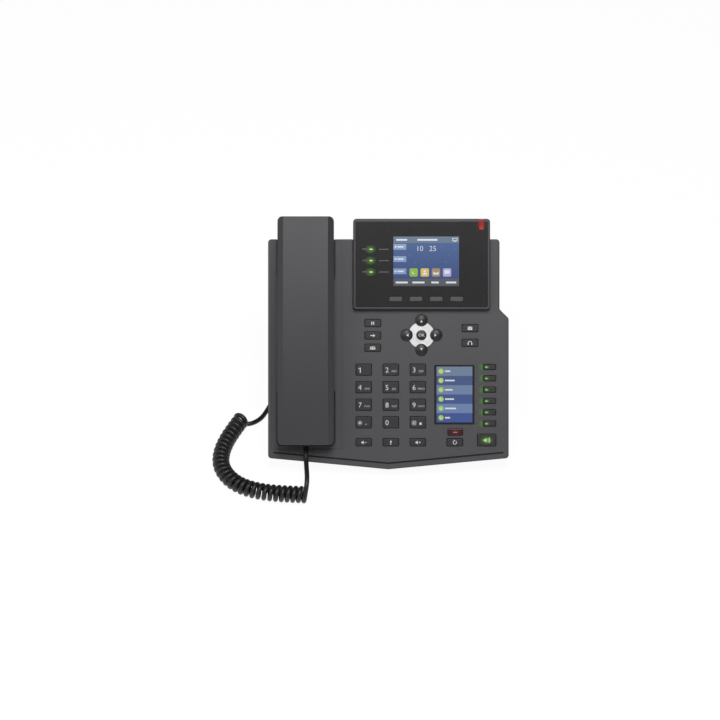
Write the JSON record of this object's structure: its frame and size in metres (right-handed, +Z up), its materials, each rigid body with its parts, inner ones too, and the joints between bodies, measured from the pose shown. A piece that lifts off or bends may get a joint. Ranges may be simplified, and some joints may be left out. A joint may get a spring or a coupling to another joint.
{
  "type": "desk ip phone",
  "caption": "Desk IP phone on a stand with a handset in its cradle, colour main screen, side screen with memory keys, dial pad, navigation pad and a curly handset cord.",
  "frame": {"origin": "middle of the phone's footprint box on the desk, without its cord", "axes": "+Z up from the desk, +X to the right of someone facing the phone, -Y towards that person"},
  "size_m": [0.259, 0.1873, 0.1921],
  "materials": {
    "housing": "fine textured moulding",
    "handset": "fine textured moulding",
    "gloss_panel": "polished",
    "screen": "lit screen",
    "rubber": "matt",
    "silver": "satin silver",
    "red_light": "clear red",
    "circuit_board": "solder mask",
    "inner_plastic": "plain",
    "cord": "smooth",
    "clear_plug": "clear",
    "key": "satin",
    "lit_key": "satin, lit",
    "red_key": "lit red"
  },
  "bodies": {
    "base": {"front_housing": "housing", "rear_housing": "housing", "stand": "housing", "rubber_feet": "rubber", "display_housing": "housing", "display_lens": "gloss_panel", "main_lcd": "screen", "side_lcd": "screen", "nav_ring": "silver", "message_light": "red_light", "main_board": "circuit_board", "loudspeaker": "inner_plastic", "curly_cord": "cord", "base_plug": "clear_plug"},
    "handset": {"handset_back": "handset", "handset_face": "handset", "handset_receiver": "inner_plastic", "handset_plug": "clear_plug"},
    "hook_switch": {"hook_switch": "inner_plastic"},
    "key_5": {"key_5": "key"},
    "nav_up_key": {"nav_up_key": "key"},
    "ok_key": {"ok_key": "key"},
    "soft_key_1": {"soft_key_1": "key"},
    "line_key_1": {"line_key_1": "lit_key"},
    "memory_key_1": {"memory_key_1": "lit_key"},
    "page_key": {"page_key": "red_key"},
    "speaker_key": {"speaker_key": "lit_key"},
    "hold_key": {"hold_key": "key"},
    "message_key": {"message_key": "key"},
    "mute_key": {"mute_key": "key"},
    "redial_key": {"redial_key": "key"},
    "key_1": {"key_1": "key"},
    "key_2": {"key_2": "key"},
    "key_3": {"key_3": "key"},
    "key_4": {"key_4": "key"},
    "key_6": {"key_6": "key"},
    "key_7": {"key_7": "key"},
    "key_8": {"key_8": "key"},
    "key_9": {"key_9": "key"},
    "key_star": {"key_star": "key"},
    "key_0": {"key_0": "key"},
    "key_hash": {"key_hash": "key"},
    "transfer_key": {"transfer_key": "key"},
    "conference_key": {"conference_key": "key"},
    "headset_key": {"headset_key": "key"},
    "volume_down_key": {"volume_down_key": "key"},
    "volume_up_key": {"volume_up_key": "key"},
    "memory_key_2": {"memory_key_2": "lit_key"},
    "memory_key_3": {"memory_key_3": "lit_key"},
    "memory_key_4": {"memory_key_4": "lit_key"},
    "memory_key_5": {"memory_key_5": "lit_key"},
    "memory_key_6": {"memory_key_6": "lit_key"},
    "line_key_2": {"line_key_2": "lit_key"},
    "line_key_3": {"line_key_3": "lit_key"},
    "soft_key_2": {"soft_key_2": "key"},
    "soft_key_3": {"soft_key_3": "key"},
    "soft_key_4": {"soft_key_4": "key"},
    "nav_down_key": {"nav_down_key": "key"},
    "nav_left_key": {"nav_left_key": "key"},
    "nav_right_key": {"nav_right_key": "key"}
  },
  "joints": [
    {"name": "handset_lift", "type": "slide", "parent": "base", "child": "handset", "axis": [0, -0.766, 0.6428], "range_m": [0, 0.06], "deforming": ["curly_cord"]},
    {"name": "hook_switch_rise", "type": "slide", "parent": "base", "child": "hook_switch", "axis": [0, -0.766, 0.6428], "range_m": [0, 0.003]},
    {"name": "key_5_press", "type": "slide", "parent": "base", "child": "key_5", "axis": [0, 0.766, -0.6428], "range_m": [0, 0.0012], "stiffness_N_per_m": 400},
    {"name": "nav_up_key_press", "type": "slide", "parent": "base", "child": "nav_up_key", "axis": [0, 0.766, -0.6428], "range_m": [0, 0.0012], "stiffness_N_per_m": 400},
    {"name": "ok_key_press", "type": "slide", "parent": "base", "child": "ok_key", "axis": [0, 0.766, -0.6428], "range_m": [0, 0.0012], "stiffness_N_per_m": 400},
    {"name": "soft_key_1_press", "type": "slide", "parent": "base", "child": "soft_key_1", "axis": [0, 0.766, -0.6428], "range_m": [0, 0.0008], "stiffness_N_per_m": 400},
    {"name": "line_key_1_press", "type": "slide", "parent": "base", "child": "line_key_1", "axis": [0, 0.766, -0.6428], "range_m": [0, 0.0008], "stiffness_N_per_m": 400},
    {"name": "memory_key_1_press", "type": "slide", "parent": "base", "child": "memory_key_1", "axis": [0, 0.766, -0.6428], "range_m": [0, 0.0012], "stiffness_N_per_m": 400},
    {"name": "page_key_press", "type": "slide", "parent": "base", "child": "page_key", "axis": [0, 0.766, -0.6428], "range_m": [0, 0.0012], "stiffness_N_per_m": 400},
    {"name": "speaker_key_press", "type": "slide", "parent": "base", "child": "speaker_key", "axis": [0, 0.766, -0.6428], "range_m": [0, 0.0012], "stiffness_N_per_m": 400},
    {"name": "hold_key_press", "type": "slide", "parent": "base", "child": "hold_key", "axis": [0, 0.766, -0.6428], "range_m": [0, 0.0012], "stiffness_N_per_m": 400},
    {"name": "message_key_press", "type": "slide", "parent": "base", "child": "message_key", "axis": [0, 0.766, -0.6428], "range_m": [0, 0.0012], "stiffness_N_per_m": 400},
    {"name": "mute_key_press", "type": "slide", "parent": "base", "child": "mute_key", "axis": [0, 0.766, -0.6428], "range_m": [0, 0.0012], "stiffness_N_per_m": 400},
    {"name": "redial_key_press", "type": "slide", "parent": "base", "child": "redial_key", "axis": [0, 0.766, -0.6428], "range_m": [0, 0.0012], "stiffness_N_per_m": 400},
    {"name": "key_1_press", "type": "slide", "parent": "base", "child": "key_1", "axis": [0, 0.766, -0.6428], "range_m": [0, 0.0012], "stiffness_N_per_m": 400},
    {"name": "key_2_press", "type": "slide", "parent": "base", "child": "key_2", "axis": [0, 0.766, -0.6428], "range_m": [0, 0.0012], "stiffness_N_per_m": 400},
    {"name": "key_3_press", "type": "slide", "parent": "base", "child": "key_3", "axis": [0, 0.766, -0.6428], "range_m": [0, 0.0012], "stiffness_N_per_m": 400},
    {"name": "key_4_press", "type": "slide", "parent": "base", "child": "key_4", "axis": [0, 0.766, -0.6428], "range_m": [0, 0.0012], "stiffness_N_per_m": 400},
    {"name": "key_6_press", "type": "slide", "parent": "base", "child": "key_6", "axis": [0, 0.766, -0.6428], "range_m": [0, 0.0012], "stiffness_N_per_m": 400},
    {"name": "key_7_press", "type": "slide", "parent": "base", "child": "key_7", "axis": [0, 0.766, -0.6428], "range_m": [0, 0.0012], "stiffness_N_per_m": 400},
    {"name": "key_8_press", "type": "slide", "parent": "base", "child": "key_8", "axis": [0, 0.766, -0.6428], "range_m": [0, 0.0012], "stiffness_N_per_m": 400},
    {"name": "key_9_press", "type": "slide", "parent": "base", "child": "key_9", "axis": [0, 0.766, -0.6428], "range_m": [0, 0.0012], "stiffness_N_per_m": 400},
    {"name": "key_star_press", "type": "slide", "parent": "base", "child": "key_star", "axis": [0, 0.766, -0.6428], "range_m": [0, 0.0012], "stiffness_N_per_m": 400},
    {"name": "key_0_press", "type": "slide", "parent": "base", "child": "key_0", "axis": [0, 0.766, -0.6428], "range_m": [0, 0.0012], "stiffness_N_per_m": 400},
    {"name": "key_hash_press", "type": "slide", "parent": "base", "child": "key_hash", "axis": [0, 0.766, -0.6428], "range_m": [0, 0.0012], "stiffness_N_per_m": 400},
    {"name": "transfer_key_press", "type": "slide", "parent": "base", "child": "transfer_key", "axis": [0, 0.766, -0.6428], "range_m": [0, 0.0012], "stiffness_N_per_m": 400},
    {"name": "conference_key_press", "type": "slide", "parent": "base", "child": "conference_key", "axis": [0, 0.766, -0.6428], "range_m": [0, 0.0012], "stiffness_N_per_m": 400},
    {"name": "headset_key_press", "type": "slide", "parent": "base", "child": "headset_key", "axis": [0, 0.766, -0.6428], "range_m": [0, 0.0012], "stiffness_N_per_m": 400},
    {"name": "volume_down_key_press", "type": "slide", "parent": "base", "child": "volume_down_key", "axis": [0, 0.766, -0.6428], "range_m": [0, 0.0012], "stiffness_N_per_m": 400},
    {"name": "volume_up_key_press", "type": "slide", "parent": "base", "child": "volume_up_key", "axis": [0, 0.766, -0.6428], "range_m": [0, 0.0012], "stiffness_N_per_m": 400},
    {"name": "memory_key_2_press", "type": "slide", "parent": "base", "child": "memory_key_2", "axis": [0, 0.766, -0.6428], "range_m": [0, 0.0012], "stiffness_N_per_m": 400},
    {"name": "memory_key_3_press", "type": "slide", "parent": "base", "child": "memory_key_3", "axis": [0, 0.766, -0.6428], "range_m": [0, 0.0012], "stiffness_N_per_m": 400},
    {"name": "memory_key_4_press", "type": "slide", "parent": "base", "child": "memory_key_4", "axis": [0, 0.766, -0.6428], "range_m": [0, 0.0012], "stiffness_N_per_m": 400},
    {"name": "memory_key_5_press", "type": "slide", "parent": "base", "child": "memory_key_5", "axis": [0, 0.766, -0.6428], "range_m": [0, 0.0012], "stiffness_N_per_m": 400},
    {"name": "memory_key_6_press", "type": "slide", "parent": "base", "child": "memory_key_6", "axis": [0, 0.766, -0.6428], "range_m": [0, 0.0012], "stiffness_N_per_m": 400},
    {"name": "line_key_2_press", "type": "slide", "parent": "base", "child": "line_key_2", "axis": [0, 0.766, -0.6428], "range_m": [0, 0.0008], "stiffness_N_per_m": 400},
    {"name": "line_key_3_press", "type": "slide", "parent": "base", "child": "line_key_3", "axis": [0, 0.766, -0.6428], "range_m": [0, 0.0008], "stiffness_N_per_m": 400},
    {"name": "soft_key_2_press", "type": "slide", "parent": "base", "child": "soft_key_2", "axis": [0, 0.766, -0.6428], "range_m": [0, 0.0008], "stiffness_N_per_m": 400},
    {"name": "soft_key_3_press", "type": "slide", "parent": "base", "child": "soft_key_3", "axis": [0, 0.766, -0.6428], "range_m": [0, 0.0008], "stiffness_N_per_m": 400},
    {"name": "soft_key_4_press", "type": "slide", "parent": "base", "child": "soft_key_4", "axis": [0, 0.766, -0.6428], "range_m": [0, 0.0008], "stiffness_N_per_m": 400},
    {"name": "nav_down_key_press", "type": "slide", "parent": "base", "child": "nav_down_key", "axis": [0, 0.766, -0.6428], "range_m": [0, 0.0012], "stiffness_N_per_m": 400},
    {"name": "nav_left_key_press", "type": "slide", "parent": "base", "child": "nav_left_key", "axis": [0, 0.766, -0.6428], "range_m": [0, 0.0012], "stiffness_N_per_m": 400},
    {"name": "nav_right_key_press", "type": "slide", "parent": "base", "child": "nav_right_key", "axis": [0, 0.766, -0.6428], "range_m": [0, 0.0012], "stiffness_N_per_m": 400}
  ],
  "couplings": [
    {"joint": "hook_switch_rise", "follows": "handset_lift", "ratio": 0.05}
  ]
}
